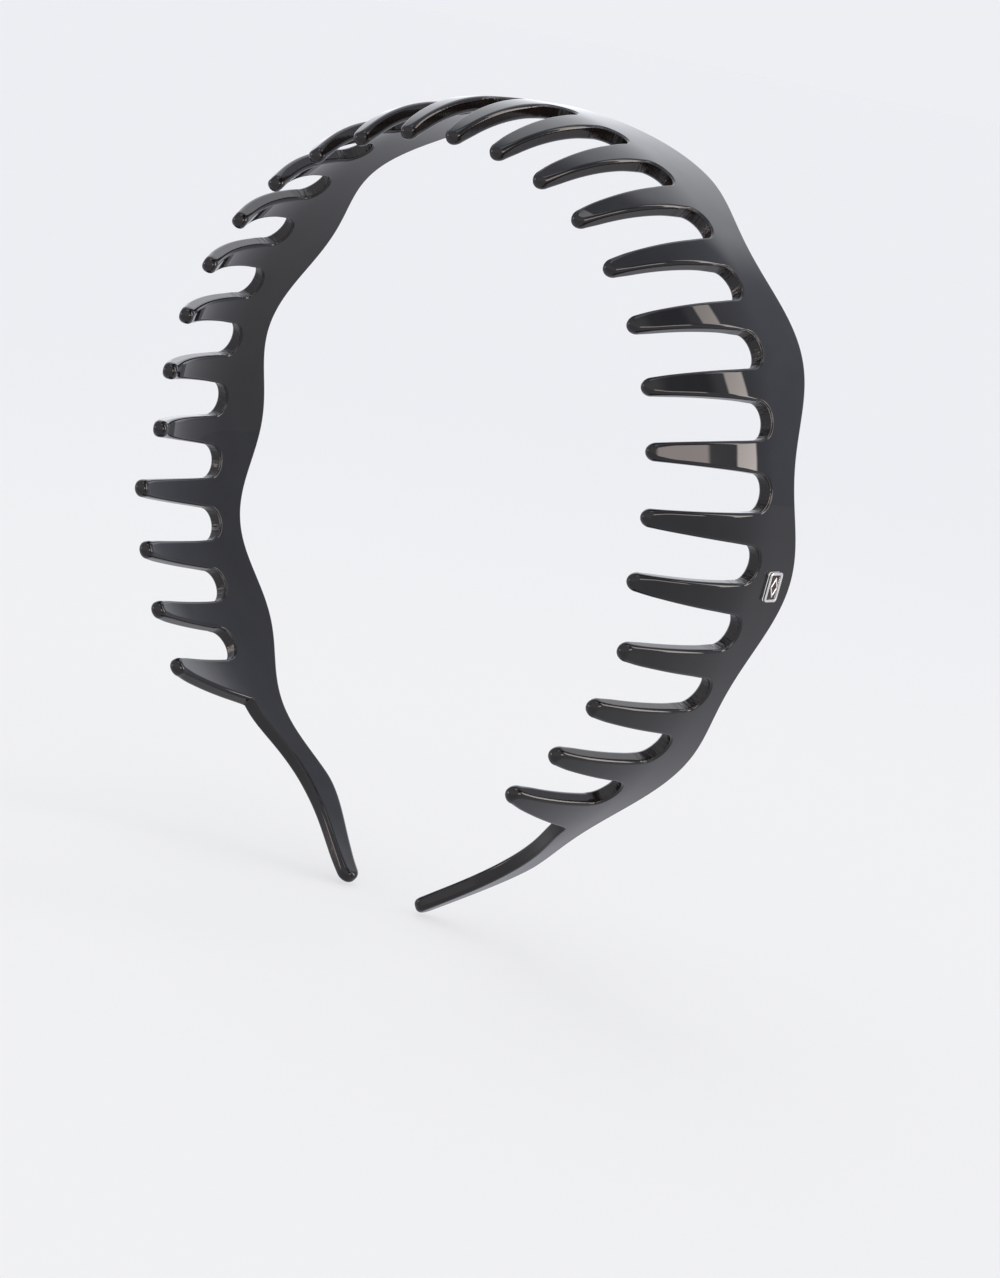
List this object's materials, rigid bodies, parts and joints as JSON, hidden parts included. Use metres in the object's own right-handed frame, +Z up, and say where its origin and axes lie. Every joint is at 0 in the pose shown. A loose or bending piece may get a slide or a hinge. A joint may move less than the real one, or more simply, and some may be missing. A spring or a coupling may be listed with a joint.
{
  "type": "comb headband",
  "caption": "Springy C-shaped comb headband with inward-bent teeth along one edge, a wavy back edge, slim tails and a small side plaque.",
  "frame": {"origin": "middle of the crown's inner face, where the band rests on the head, level with the front of the plain band", "axes": "+Z up through the crown, X from ear to ear with the plaque on +X, teeth towards -Y and the wavy edge towards +Y"},
  "size_m": [0.1263, 0.0376, 0.1445],
  "materials": {
    "black_plastic": "polished",
    "silver_metal": "polished",
    "dark_enamel": "gloss"
  },
  "bodies": {
    "crown": {"band_crown": "black_plastic"},
    "right_arm": {"band_right_arm": "black_plastic", "plaque_rim": "silver_metal", "plaque_enamel": "dark_enamel", "plaque_emblem": "silver_metal", "plaque_pins": "silver_metal"},
    "left_arm": {"band_left_arm": "black_plastic"}
  },
  "joints": [
    {"name": "right_flex", "type": "hinge", "parent": "crown", "child": "right_arm", "pos_m": [0.04753, 0, -0.01931], "axis": [0, -1, 0], "range_deg": [0, 18], "stiffness_Nm_per_rad": 0.6},
    {"name": "left_flex", "type": "hinge", "parent": "crown", "child": "left_arm", "pos_m": [-0.04753, 0, -0.01931], "axis": [0, 1, 0], "range_deg": [0, 18], "stiffness_Nm_per_rad": 0.6}
  ]
}
